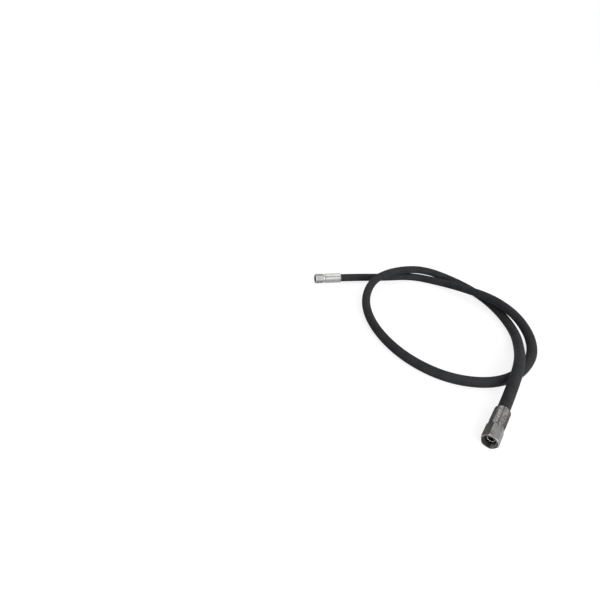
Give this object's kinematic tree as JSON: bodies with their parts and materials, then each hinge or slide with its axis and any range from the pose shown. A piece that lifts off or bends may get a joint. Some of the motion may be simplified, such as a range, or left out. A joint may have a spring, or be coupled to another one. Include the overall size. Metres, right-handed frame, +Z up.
{
  "type": "hydraulic hose assembly",
  "caption": "Flexible wire-braided hydraulic hose laid in a loop and a half, with a crimped ferrule and a threaded swivel nut at each end.",
  "frame": {"origin": "on the floor, at the centre of the outline of the hose as it lies", "axes": "+Z up; +Y away from the viewer, along the longer side of the laid hose; +X to the viewer's right"},
  "size_m": [0.714, 0.8609, 0.0624],
  "materials": {
    "hose_rubber": "matte",
    "braid_wire": "satin",
    "tube_rubber": "matte",
    "zinc_ferrule": "satin",
    "zinc_insert": "satin",
    "zinc_nut": "satin",
    "seal_rubber": "satin",
    "spring_wire": "satin"
  },
  "bodies": {
    "root": {"hose_cover": "hose_rubber", "outer_wire_braid": "braid_wire", "inner_wire_braid": "braid_wire", "inner_tube": "tube_rubber", "ferrules": "zinc_ferrule", "inserts": "zinc_insert", "o_rings": "seal_rubber", "retaining_wires": "spring_wire"},
    "near_nut": {"near_nut": "zinc_nut"},
    "far_nut": {"far_nut": "zinc_nut"}
  },
  "joints": [
    {"name": "near_nut_swivel", "type": "hinge", "parent": "root", "child": "near_nut", "pos_m": [0.0723, -0.38197, 0.0208], "axis": [-0.5947, -0.8039, 0], "continuous": true},
    {"name": "far_nut_swivel", "type": "hinge", "parent": "root", "child": "far_nut", "pos_m": [-0.32456, 0.32755, 0.0192], "axis": [-0.9756, -0.2197, 0], "continuous": true}
  ]
}
